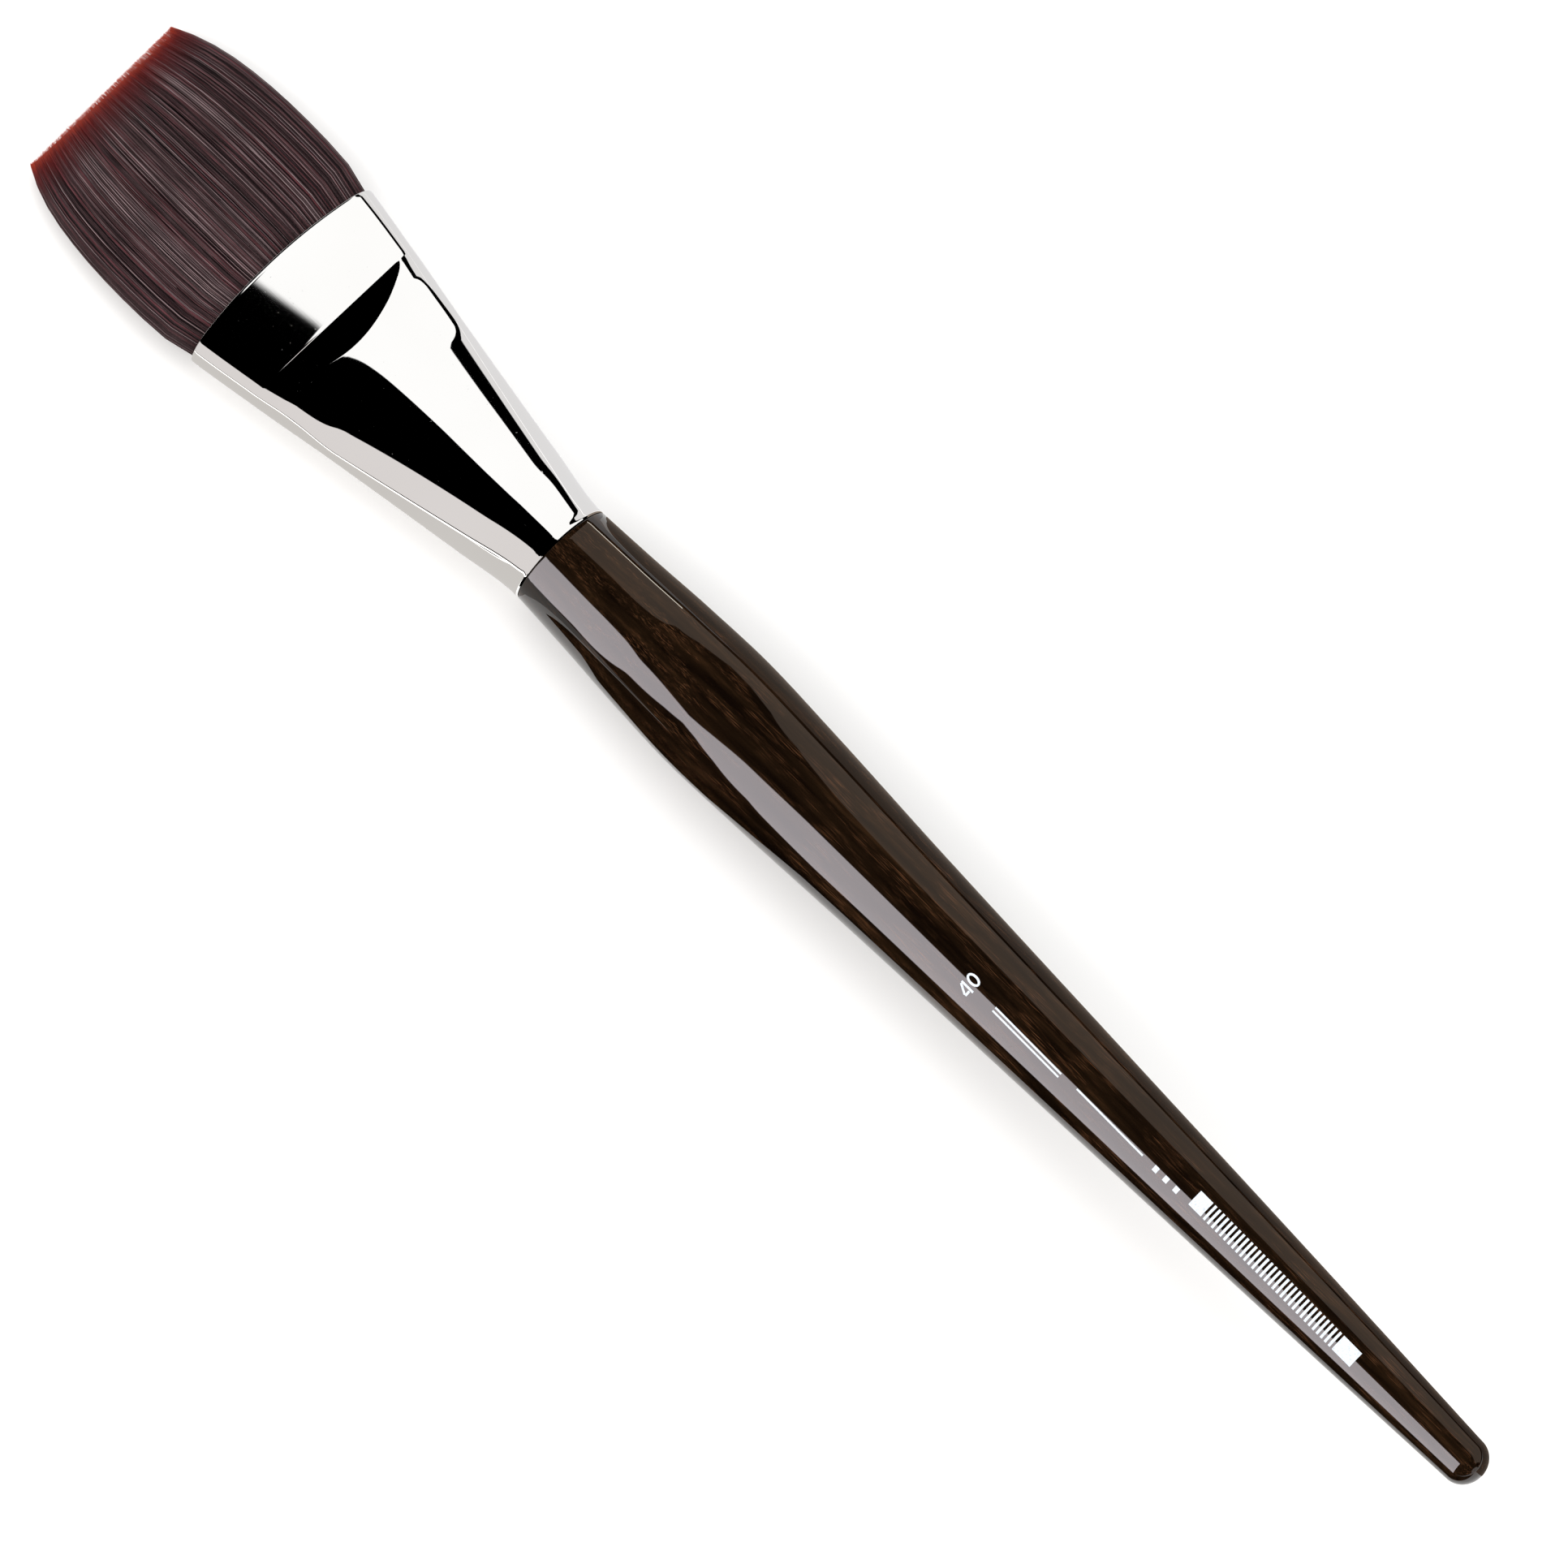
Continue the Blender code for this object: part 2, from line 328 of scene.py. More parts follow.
def lacquered_wood():
    """Near-black stained wood with faint brown mottling and a few flecks, under a deep gloss lacquer."""
    n = Nodes("lacquered_wood")
    broad = n.noise(n.along_grain(14.0), 650.0, roughness=0.6)
    stain = n.ramp(
        broad,
        [(0.38, (0.0035, 0.0018, 0.001)), (0.58, (0.009, 0.0046, 0.0022)), (0.74, (0.024, 0.0115, 0.005))],
    )
    streaks = n.noise(n.along_grain(30.0), 8500.0, detail=2.0, roughness=0.55)
    cloud = n.noise(n.along_grain(6.0), 520.0, detail=3.0, roughness=0.6)
    streaks = n.ramp(streaks, [(0.5, BLACK), (0.7, WHITE)])
    flecks = n.maths("MULTIPLY", streaks, n.ramp(cloud, [(0.46, BLACK), (0.64, WHITE)]))
    n.colour(n.mix(flecks, stain, (0.07, 0.031, 0.014)))
    n.set(Roughness=0.6, Coat_Weight=1.0, Coat_Roughness=0.015, Coat_IOR=1.55)
    n.shader.inputs["Specular IOR Level"].default_value = 0.0
    n.bump(n.noise(n.along_grain(3.0), 60.0, detail=1.0), 0.00002, 0.1, into="Coat Normal")
    return n.material


def polished_nickel():
    """Bright nickel plate, near a mirror, with specks of dust and a few faint lengthwise wiping marks."""
    n = Nodes("polished_nickel")
    cloud = n.noise(n.along_grain(1.0), 60.0, detail=2.0)
    wiped = n.noise(n.along_grain(40.0), 3200.0, detail=2.0)
    dust = n.ramp(n.noise(n.along_grain(1.0), 2600.0, detail=1.0), [(0.76, BLACK), (0.8, WHITE)])
    n.colour(n.mix(cloud, (0.88, 0.87, 0.85), (0.92, 0.915, 0.905)))
    worn = n.maths("ADD", n.span(cloud, 0.01, 0.018), n.span(wiped, 0.0, 0.006))
    n.link(n.maths("ADD", worn, n.maths("MULTIPLY", dust, 0.16)), n.shader.inputs["Roughness"])
    n.set(Metallic=1.0)
    n.bump(n.maths("ADD", wiped, n.maths("MULTIPLY", dust, 4.0)), 0.000001, 0.05)
    return n.material


# The number of shades the tuft's filaments are dyed in.
SHADES = 24
# The dyes from the darkest shade to the palest, at their places among the shades.
DYES = [
    (0.0, (0.008, 0.004, 0.005)),
    (0.3, (0.034, 0.018, 0.02)),
    (0.55, (0.066, 0.036, 0.038)),
    (0.7, (0.11, 0.026, 0.033)),
    (0.82, (0.1, 0.066, 0.07)),
    (1.0, (0.21, 0.15, 0.155)),
]


def filament(name="filament", dark=1.0):
    """Dyed synthetic filament: aubergine in many shades, turning clear red at its tip.

    The strand's UV layout says where a point is: U is the share of the strand's length, and the strip of V
    it lies in is the strand's shade. Dark scales all the shades; below 1 it paints shadow, as on the tuft's core.
    """
    n = Nodes(name)
    layout = n.add("ShaderNodeUVMap", uv_map="OFBake")
    parts = n.add("ShaderNodeSeparateXYZ")
    n.link(layout.outputs["UV"], parts.inputs["Vector"])
    strip = n.maths("FLOOR", n.maths("MULTIPLY", parts.outputs["Y"], float(SHADES)))
    draw = n.add("ShaderNodeTexWhiteNoise", noise_dimensions="1D")
    n.link(strip, draw.inputs["W"])
    shade = n.ramp(
        n.maths("MULTIPLY", strip, 1.0 / (SHADES - 1)),
        [(position, [dark * part for part in dye]) for position, dye in DYES],
    )
    # Each shade lightens and darkens along its length in its own way, which breaks up the streaks.
    place = n.add("ShaderNodeCombineXYZ")
    n.link(n.maths("MULTIPLY", parts.outputs["X"], 7.0), place.inputs["X"])
    n.link(n.maths("MULTIPLY", strip, 3.7), place.inputs["Y"])
    patches = n.noise(place.outputs["Vector"], 1.0, detail=2.0)
    gleam = n.ramp(patches, [(0.3, (0.5, 0.5, 0.5)), (0.7, (1.55, 1.55, 1.55))])
    shade = n.mix(1.0, shade, gleam, blend="MULTIPLY")
    # The red tips start at slightly different places.
    reach = n.maths("ADD", parts.outputs["X"], n.span(draw.outputs["Value"], -0.012, 0.012))
    red = n.ramp(reach, [(0.84, BLACK), (0.94, (0.6, 0.6, 0.6)), (0.985, WHITE)])
    tip = n.ramp(reach, [(0.88, (0.1, 0.01, 0.012)), (0.96, (0.19, 0.013, 0.012)), (1.0, (0.5, 0.05, 0.02))])
    n.colour(n.mix(red, shade, tip))
    n.set(Roughness=0.38)
    return n.material


def plain_noise(name, first, second, scale, roughness, bump):
    """A mottled material for a piece that is hidden or small."""
    n = Nodes(name)
    mottle = n.noise(n.along_grain(2.0), scale)
    n.colour(n.mix(mottle, first, second))
    n.set(Roughness=roughness)
    n.bump(mottle, bump, 0.5)
    return n.material


# ---------------------------------------------------------------- handle


def make_handle(material):
    """The turned stick: domed tail, belly, rounded shoulder, and the tenon inside the ferrule."""
    around = 160
    angle = np.linspace(0.02, math.pi / 2, 26)[:-1]
    outline = [
        (HANDLE_END + TAIL_DOME_LENGTH * (1 - math.cos(a)), TAIL_RADIUS * math.sin(a)) for a in angle
    ]
    stations = np.linspace(HANDLE_END + TAIL_DOME_LENGTH, HANDLE_OUTLINE[0][0], 280)
    outline += list(zip(stations, smooth(HANDLE_OUTLINE, stations)))
    shoulder = HANDLE_OUTLINE[0][1] - SHOULDER_STEP
    for a in np.linspace(0.15, math.pi / 2, 7):
        outline.append((
            -SHOULDER_GAP - SHOULDER_ROUND + SHOULDER_ROUND * math.sin(a),
            shoulder - SHOULDER_ROUND + SHOULDER_ROUND * math.cos(a),
        ))
    outline += [(-SHOULDER_GAP, TENON_RADIUS), (TENON_LENGTH - TENON_CHAMFER, TENON_END_RADIUS)]
    outline.append((TENON_LENGTH, TENON_END_RADIUS - TENON_CHAMFER))
    outline = np.array(outline)
    turn = np.arange(around) / around * math.tau
    points = np.empty((len(outline), around, 3))
    points[:, :, 0] = outline[:, :1]
    points[:, :, 1] = outline[:, 1:] * np.cos(turn)
    points[:, :, 2] = outline[:, 1:] * np.sin(turn)
    piece = build("turned_handle", points, ring_faces(len(outline), around), material, "brush_body")
    piece.data.set_sharp_from_angle(angle=math.radians(40))
    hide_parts("handle")
    return piece


# ---------------------------------------------------------------- print

INK_PROUD = 0.03 * MM
INK_SUNK = 0.06 * MM
INK_STEP = 1.5 * MM


def print_ink():
    """Pale bluish ink, slightly worn."""
    n = Nodes("print_ink")
    worn = n.noise(n.along_grain(1.0), 4000.0, detail=2.0)
    n.colour(n.mix(n.ramp(worn, [(0.3, WHITE), (0.45, BLACK)]), (0.68, 0.74, 0.8), (0.5, 0.55, 0.62)))
    n.set(Roughness=0.45)
    return n.material


class Print:
    """Patches of ink on the handle's skin, each a thin closed shell.

    Across is the distance round the handle from its top, towards +Y.
    """

    def __init__(self):
        self.points, self.faces = [], []

    def patch(self, left, right):
        """A patch between two paths of (station, across) points that run side by side."""
        left, right = np.asarray(left, float), np.asarray(right, float)
        lanes = 5
        share = np.linspace(0.0, 1.0, lanes)[None, :, None]
        flat = left[:, None] + (right - left)[:, None] * share
        radius = smooth(HANDLE_OUTLINE, flat[..., 0])
        angle = flat[..., 1] / radius
        shells = []
        for proud in (INK_PROUD, -INK_SUNK):
            reach = radius + proud
            shell = np.stack([flat[..., 0], reach * np.sin(angle), reach * np.cos(angle)], -1)
            shells.append(shell.reshape(-1, 3))
        rows = len(left)
        start = sum(len(p) for p in self.points)
        self.points += shells
        size = rows * lanes
        for i in range(rows - 1):
            for j in range(lanes - 1):
                a = start + i * lanes + j
                self.faces.append((a, a + lanes, a + lanes + 1, a + 1))
                self.faces.append((a + size, a + size + 1, a + size + lanes + 1, a + size + lanes))
        rim = list(range(lanes))
        rim += [(i + 1) * lanes - 1 for i in range(1, rows)]
        rim += [(rows - 1) * lanes + j for j in range(lanes - 2, -1, -1)]
        rim += [i * lanes for i in range(rows - 2, 0, -1)]
        for here, there in zip(rim, rim[1:] + rim[:1]):
            self.faces.append((start + here, start + there, start + there + size, start + here + size))

    def bar(self, near, far, low, high):
        """A plain bar between two stations and two distances across."""
        stations = np.linspace(near, far, max(2, int(abs(far - near) / INK_STEP) + 1))
        self.patch([(s, low) for s in stations], [(s, high) for s in stations])


def make_print(material):
    """A plain size number, three rules, three squares and a block of even bars along the handle's top."""
    ink = Print()
    size, pen = 2.3 * MM, 0.17 * MM
    base, middle = -86.3 * MM, 3.1 * MM

    def stroke(points):
        """A pen stroke of the number; its points are (right, rise) from the middle of its foot, in sizes."""
        path = np.array([(base + rise * size, middle - right * size) for right, rise in points])
        step = np.gradient(path, axis=0)
        side = np.stack([-step[:, 1], step[:, 0]], -1)
        side *= pen / np.linalg.norm(side, axis=1, keepdims=True)
        ink.patch(path - side, path + side)

    stroke([(-0.16, 0.0), (-0.16, 0.5), (-0.16, 0.98)])
    stroke([(-0.27, 0.93), (-0.45, 0.62), (-0.64, 0.3)])
    stroke([(-0.66, 0.22), (-0.4, 0.22), (-0.27, 0.22)])
    oval_turn = np.linspace(0.0, math.tau, 25)
    for half_turn in (oval_turn[:13], oval_turn[12:]):
        stroke([(0.4 + 0.24 * math.sin(a), 0.5 + 0.42 * math.cos(a)) for a in half_turn])

    half_rule, half_square = 0.14, 0.4
    for near, far, across in ((-103.0, -90.0, 2.7), (-103.0, -90.0, 3.3), (-119.0, -106.0, 2.6)):
        ink.bar(near * MM, far * MM, (across - half_rule) * MM, (across + half_rule) * MM)
    for place in (-125.6, -123.6, -121.6):
        ink.bar((place - half_square) * MM, (place + half_square) * MM, 2.2 * MM, 3.1 * MM)

    low, high = 0.25 * MM, 2.85 * MM
    block_ends = np.array([-159.8, -156.3, -130.6, -128.2]) * MM
    ink.bar(block_ends[0], block_ends[1], low, high)
    ink.bar(block_ends[2], block_ends[3], low, high)
    count = 32
    pitch = (block_ends[2] - block_ends[1]) / (count + 0.5)
    for i in range(count):
        start = block_ends[1] + (i + 0.5) * pitch
        ink.bar(start, start + 0.5 * pitch, low, high)
    piece = build("printed_marks", np.concatenate(ink.points), ink.faces, material, "brush_body")
    piece.data.set_sharp_from_angle(angle=math.radians(40))


# ---------------------------------------------------------------- ferrule


def ferrule_half_thickness(station):
    """Flat at the mouth, a straight taper behind the crease, eased into the rounder handle's end."""
    if station >= ROUND_END:
        return MOUTH_HALF_THICKNESS + TAPER_SLOPE * max(CREASE - station, 0.0)
    t = max(station, 0.0) / ROUND_END
    end = MOUTH_HALF_THICKNESS + TAPER_SLOPE * (CREASE - ROUND_END)
    eased = (2 * t**3 - 3 * t**2 + 1) * BARREL_HALF_THICKNESS + (3 * t**2 - 2 * t**3) * end
    return eased - ((t**3 - 2 * t**2 + t) * BARREL_SLOPE + (t**3 - t**2) * TAPER_SLOPE) * ROUND_END


def ferrule_ring(station, turn, inset=0.0, flare=0.0):
    """One ring of the ferrule's wall: crowned behind the crease, bowed at the mouth."""
    half_width = smooth(FERRULE_HALF_WIDTH, station) - inset + flare
    half_thickness = ferrule_half_thickness(station) - inset + flare
    roundness = smoothstep(OVAL_START, ELLIPSE_END, station)
    y, z = oval(half_width, half_thickness, turn, roundness)
    reach = CROWN_LENGTH * np.clip(1 - (y / CROWN_HALF_WIDTH) ** 2, 0.0, 1.0)
    crown = CROWN_SLOPE * np.minimum(max(CREASE - station, 0.0), reach)
    crown *= smoothstep(0.0, CROWN_FADE, station)
    press = smoothstep(CREASE, MOUTH, station)
    x = station - press * MOUTH_BOW * (y / half_width) ** 2
    return np.stack([x, y, z * (1 + crown / half_thickness)], -1)


def make_ferrule(material):
    """The seamless tube as one closed wall: lip, outside, rounded mouth rim, and inside."""
    around = 288
    turn = (np.arange(around) + 0.5) / around
    lip = [(0.0, 0.02), (0.1, 0.07), (0.3, 0.08), (0.6, 0.05), (0.9, 0.02), (1.2, 0.0)]
    chamfer = 0.1 * MM
    rings = [ferrule_ring(0.0, turn, inset=chamfer)]
    rings += [ferrule_ring(x * MM, turn, flare=f * MM) for x, f in lip]
    rim = 0.15 * MM
    crown_foot = CREASE - 1.1 * CROWN_LENGTH
    fold = 0.05 * MM
    stations = np.concatenate([
        np.linspace(1.6 * MM, crown_foot, 70),
        np.linspace(crown_foot, CREASE - fold, 54)[1:],
        np.linspace(CREASE + fold, MOUTH - rim, 24),
    ])
    rings += [ferrule_ring(s, turn) for s in stations]
    edge = FERRULE_WALL / 2
    for a in np.linspace(0, math.pi, 9)[1:]:
        rings.append(ferrule_ring(MOUTH - rim + rim * math.sin(a), turn, inset=edge * (1 - math.cos(a))))
    rings += [ferrule_ring(s, turn, inset=FERRULE_WALL) for s in np.linspace(MOUTH - 0.5 * MM, 0.2 * MM, 24)]
    rings.append(ferrule_ring(0.0, turn, inset=FERRULE_WALL - chamfer))
    faces = ring_faces(len(rings), around, closed=True)
    piece = build("pressed_ferrule", rings, faces, material, "brush_body")
    piece.data.set_sharp_from_angle(angle=math.radians(50))
    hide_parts("ferrule")
    return piece


# ---------------------------------------------------------------- tuft


def tuft_half_thickness(station):
    """Half the tuft's thickness: a wedge from the mouth to the chisel edge, a little full in the middle."""
    share = np.clip((station - BEND_LINE) / (TIP - BEND_LINE), 0.0, 1.0)
    wedge = TUFT_ROOT_HALF_THICKNESS + (TIP_HALF_THICKNESS - TUFT_ROOT_HALF_THICKNESS) * share
    return wedge + TUFT_FULLNESS * np.sin(math.pi * share)


def make_core(material):
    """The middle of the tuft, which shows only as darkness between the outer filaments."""
    around = 96
    turn = np.arange(around) / around
    inset, short = 0.42 * MM, 0.7 * MM
    stations = np.linspace(TUFT_START, TIP - short, 30)
    rings = []
    for station in stations:
        half_thickness = tuft_half_thickness(station)
        inner = max(half_thickness - inset, 0.3 * half_thickness)
        y, z = oval(smooth(TUFT_HALF_WIDTH, station) - inset, inner, turn)
        rings.append(np.stack([np.full(around, station), y, z], -1))
    piece = build("tuft_core", rings, ring_faces(len(rings), around), material)
    # Its UV layout keeps it within the darkest strip, and its darkened material makes it painted shadow between
    # the filaments.
    corner = np.zeros(len(piece.data.loops), int)
    piece.data.loops.foreach_get("vertex_index", corner)
    reach = (stations[corner // around] - TUFT_START) / (TIP - TUFT_START)
    spots = np.stack([reach, (0.2 + 0.6 * (corner % 2)) / SHADES], -1)
    piece.data.uv_layers.new(name="OFBake").data.foreach_set("uv", spots.ravel().astype(np.float32))
    return piece


def strand_layout(share, shade, sides):
    """The UV corners of strands cut at shares of their length: all walls, then all roots, then all tips."""
    shape = (len(shade), len(share) - 1, sides)
    strip = (shade[:, None, None] + 0.25 + 0.5 * np.arange(sides + 1)[None, None, :] / sides) / SHADES
    low, high = (np.broadcast_to(part[None, :, None], shape) for part in (share[:-1], share[1:]))
    left, right = (np.broadcast_to(part, shape) for part in (strip[..., :-1], strip[..., 1:]))
    corners = [(low, left), (low, right), (high, right), (high, left)]
    walls = np.stack([np.stack(corner, -1) for corner in corners], -2)
    middle = (shade + 0.5) / SHADES
    patch = np.array([[0.0, -0.1], [0.004, -0.1], [0.004, 0.1], [0.0, 0.1]]) * np.array([1.0, 1 / SHADES])
    root, tip = (np.stack([np.full(len(shade), end), middle], -1)[:, None, :] for end in (0.0, 0.995))
    return np.concatenate([part.reshape(-1, 2) for part in (walls, root + patch, tip + patch)])


def make_filaments(name, material, seed, layers, under):
    """One face of the tuft as separate tapering filaments, laid over the flat oval in a few loose layers."""
    rng = np.random.default_rng(seed)
    sides, steps = 4, 11
    reference = 68.0 * MM
    width, thickness = smooth(TUFT_HALF_WIDTH, reference), tuft_half_thickness(reference)
    places, depths = [], []
    for depth, count in layers:
        turn = (np.arange(count) + rng.uniform(-0.35, 0.35, count)) / count * 0.5 + (0.5 if under else 0.0)
        y, z = oval(width, thickness, turn % 1.0)
        places.append(np.stack([y / width, z], -1))
        depths.append(depth + rng.uniform(-0.03, 0.03, count) * MM)
    across, rise = np.concatenate(places).T
    depth = np.concatenate(depths)
    count = len(depth)

    # How far along: dense near the tip, where the outline turns.
    share = np.linspace(0.0, 1.0, steps) ** 0.8
    length = TIP - 0.1 * MM - TUFT_START + rng.normal(0.0, 0.07 * MM, count)
    length -= rng.exponential(0.1 * MM, count)
    length -= TIP_SKEW * across * width
    station = TUFT_START + length[:, None] * share[None, :]
    half_width = smooth(TUFT_HALF_WIDTH, station)
    half_thickness = tuft_half_thickness(station)
    shrink = 1 - np.minimum(depth[:, None] / half_thickness, 0.85)

    # Neighbours drift together into wisps, more so towards the tip.
    wisp = np.zeros(count)
    for ripples, size in ((57, 0.4), (131, 0.35), (307, 0.25)):
        wisp += size * np.sin(across * ripples + rng.uniform(0, math.tau))
    loose = share[None, :] ** 1.5
    drift = wisp[:, None] * 0.06 * MM * (0.4 + 0.6 * loose) + rng.normal(0, 0.12 * MM, (count, 1)) * loose
    waves = np.sin(share[None, :] * math.pi * rng.uniform(1.0, 2.4, (count, 1)))
    sway = rng.normal(0, 0.06 * MM, (count, 1)) * waves
    corner = 1 - 0.03 * smoothstep(0.9, 1.0, np.abs(across))[:, None] * smoothstep(0.9, 1.0, share)[None, :]
    y = across[:, None] * (half_width - 0.5 * depth[:, None]) * corner
    y += (drift + sway) * (1 - np.abs(across[:, None]) ** 6)
    flat = np.maximum(half_width - half_thickness, 1e-9)
    beyond = np.clip((np.abs(y) - flat) / half_thickness, 0.0, 1.0)
    level = np.sqrt(np.clip(1 - beyond**2, 0.0, 1.0))
    z = np.sign(rise)[:, None] * half_thickness * shrink * level
    z += rng.normal(0, 0.035 * MM, (count, 1)) * loose * level * (half_thickness / thickness)

    radius = FILAMENT_RADIUS * rng.uniform(0.75, 1.15, (count, 1))
    radius = radius * (1 - 0.7 * smoothstep(0.8, 1.0, share)[None, :])
    turn = (np.arange(sides) + 0.5) / sides * math.tau
    points = np.empty((count, steps, sides, 3))
    points[..., 0] = station[:, :, None]
    points[..., 1] = y[:, :, None] + radius[:, :, None] * np.cos(turn)
    points[..., 2] = z[:, :, None] + radius[:, :, None] * np.sin(turn)

    strand, step, side = np.meshgrid(np.arange(count), np.arange(steps - 1), np.arange(sides), indexing="ij")
    following = (side + 1) % sides
    first, second = (strand * steps + step) * sides, (strand * steps + step + 1) * sides
    quads = np.stack([first + side, first + following, second + following, second + side], -1).reshape(-1, 4)
    ends = np.arange(count)[:, None] * steps * sides
    roots = ends + np.arange(sides)[::-1][None, :]
    tips = ends + (steps - 1) * sides + np.arange(sides)[None, :]
    piece = build(name, points, np.concatenate([quads, roots, tips]).tolist(), material)

    # Shades gather in streaks a few strands wide.
    streak = np.zeros(count)
    for ripples, size in ((211, 0.05), (401, 0.08), (701, 0.08)):
        streak += size * np.sin(across * ripples + rng.uniform(0, math.tau))
    shade = np.clip((0.5 + streak + rng.normal(0.0, 0.3, count)) * SHADES, 0, SHADES - 1).astype(int)
    layout = strand_layout(share, shade, sides)
    piece.data.uv_layers.new(name="OFBake").data.foreach_set("uv", layout.ravel().astype(np.float32))
    return piece


def make_tuft():
    """Both faces of the tuft and its core, from just inside the mouth to the tip."""
    strand = filament()
    # The core's material is the filament darkened to a quarter: painted shadow deep inside the tuft.
    shadow = filament("filament_core_painted_shadow", dark=0.25)
    pieces = [
        make_filaments("filaments_upper", strand, 11, FILAMENT_LAYERS, under=False),
        make_filaments("filaments_under", strand, 12, FILAMENT_LAYERS, under=True),
        make_core(shadow),
    ]
    for piece in pieces:
        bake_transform(piece)
    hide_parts("tuft")


# ---------------------------------------------------------------- stage

FLOOR_DROP = 0.05 * MM
TABLE_CARD_HEIGHT = 0.3 * MM


def card(name, rows, radius, colour, strength, soft=(0.0, 0.0), seen_by=None):
    """A glowing card on a cylinder round the brush's axis, for reflections only.

    Each row is a station and the angles, in degrees from straight up and positive towards +Y, of its two
    edges. Each edge fades over its own soft width in degrees. With seen_by, only that piece reflects it.
    """
    stations, first, last = (np.array(column) for column in zip(*rows))
    fine = np.linspace(stations[0], stations[-1], 140)
    first, last = np.interp(fine, stations, first), np.interp(fine, stations, last)
    fade = np.linspace(0.0, 1.0, 7)
    inner = np.linspace(0.0, 1.0, 26)[1:-1]
    way = np.sign(last - first)[:, None]
    start, end = first[:, None] + way * soft[0], last[:, None] - way * soft[1]
    angle = np.radians(np.hstack([
        first[:, None] + (start - first[:, None]) * fade,
        start + (end - start) * inner,
        end + (last[:, None] - end) * fade,
    ]))
    ease = fade**2 * (3 - 2 * fade)
    glow = np.concatenate([ease, np.ones(len(inner)), 1 - ease])
    level = np.broadcast_to(fine[:, None], angle.shape)
    points = np.stack([level, radius * np.sin(angle), radius * np.cos(angle)], -1)
    lines, columns = angle.shape
    corner = np.arange((lines - 1) * columns).reshape(lines - 1, columns)[:, :-1]
    faces = np.stack([corner, corner + 1, corner + columns + 1, corner + columns], -1).reshape(-1, 4)
    mesh = bpy.data.meshes.new(name)
    mesh.from_pydata(points.reshape(-1, 3).tolist(), [], faces.tolist())
    mesh.transform(BRUSH_TO_FRAME)
    reflected(name, mesh, np.tile(glow, lines), colour, strength, seen_by)


def reflected(name, mesh, glow, colour, strength, seen_by=None):
    """Makes a mesh glow in reflections only; glow is each point's share of the strength.

    With seen_by only that piece reflects it, added to what lies behind it; without, it covers that.
    """
    mesh.attributes.new("glow", "FLOAT", "POINT").data.foreach_set("value", glow.astype(np.float32))
    made = bpy.data.materials.new(name)
    made.use_nodes = True
    tree = made.node_tree
    tree.nodes.remove(tree.nodes["Principled BSDF"])
    shine = tree.nodes.new("ShaderNodeEmission")
    shine.inputs["Color"].default_value = (*colour, 1.0)
    level = tree.nodes.new("ShaderNodeAttribute")
    level.attribute_name = "glow"
    scale = tree.nodes.new("ShaderNodeMath")
    scale.operation = "MULTIPLY"
    scale.inputs[1].default_value = strength
    tree.links.new(level.outputs["Fac"], scale.inputs[0])
    tree.links.new(scale.outputs[0], shine.inputs["Strength"])
    surface = shine.outputs["Emission"]
    if seen_by:
        both = tree.nodes.new("ShaderNodeAddShader")
        clear = tree.nodes.new("ShaderNodeBsdfTransparent")
        tree.links.new(surface, both.inputs[0])
        tree.links.new(clear.outputs["BSDF"], both.inputs[1])
        surface = both.outputs["Shader"]
    tree.links.new(surface, tree.nodes["Material Output"].inputs["Surface"])
    mesh.materials.append(made)
    piece = bpy.data.objects.new(name, mesh)
    bpy.context.scene.collection.objects.link(piece)
    piece.visible_camera = piece.visible_diffuse = piece.visible_shadow = piece.visible_transmission = False
    if seen_by:
        receivers = bpy.data.collections.new(name + "_receivers")
        receivers.objects.link(seen_by)
        piece.light_linking.receiver_collection = receivers


def table_card(name, corners, colour, strength):
    """A level card just over the table, for reflections only; its corners are (station, y)."""
    mesh = bpy.data.meshes.new(name)
    height = CAD_BOX[0].z + TABLE_CARD_HEIGHT
    mesh.from_pydata([(axis_origin.x + x, y, height) for x, y in corners], [], [tuple(range(len(corners)))])
    reflected(name, mesh, np.ones(len(corners)), colour, strength)


def area_light(name, location, target, size, power, colour):
    """A square soft light that shows in no reflection."""
    data = bpy.data.lights.new(name, "AREA")
    data.shape = "SQUARE"
    data.size = size
    data.energy = power
    data.color = colour
    light = bpy.data.objects.new(name, data)
    bpy.context.scene.collection.objects.link(light)
    light.location = location
    light.rotation_mode = "QUATERNION"
    light.rotation_quaternion = (Vector(target) - Vector(location)).to_track_quat("-Z", "Y")
    light.visible_camera = light.visible_glossy = False


def make_floor():
    """A wide matte sheet just under the brush."""
    mesh = bpy.data.meshes.new("floor")
    reach = 6.0
    corners = [(-reach, -reach, 0), (reach, -reach, 0), (reach, reach, 0), (-reach, reach, 0)]
    mesh.from_pydata(corners, [], [(0, 1, 2, 3)])
    floor = bpy.data.objects.new("floor", mesh)
    bpy.context.scene.collection.objects.link(floor)
    floor.location.z = CAD_BOX[0].z - FLOOR_DROP
    n = Nodes("floor")
    n.set(Roughness=0.9)
    n.shader.inputs["Base Color"].default_value = (*FLOOR_COLOUR, 1.0)
    n.shader.inputs["Specular IOR Level"].default_value = 0.0
    mesh.materials.append(n.material)


def make_world():
    """An even, nearly white room."""
    world = bpy.data.worlds.new("studio")
    bpy.context.scene.world = world
    world.use_nodes = True
    background = world.node_tree.nodes["Background"]
    background.inputs["Color"].default_value = (*ROOM_COLOUR, 1.0)
    background.inputs["Strength"].default_value = ROOM_STRENGTH


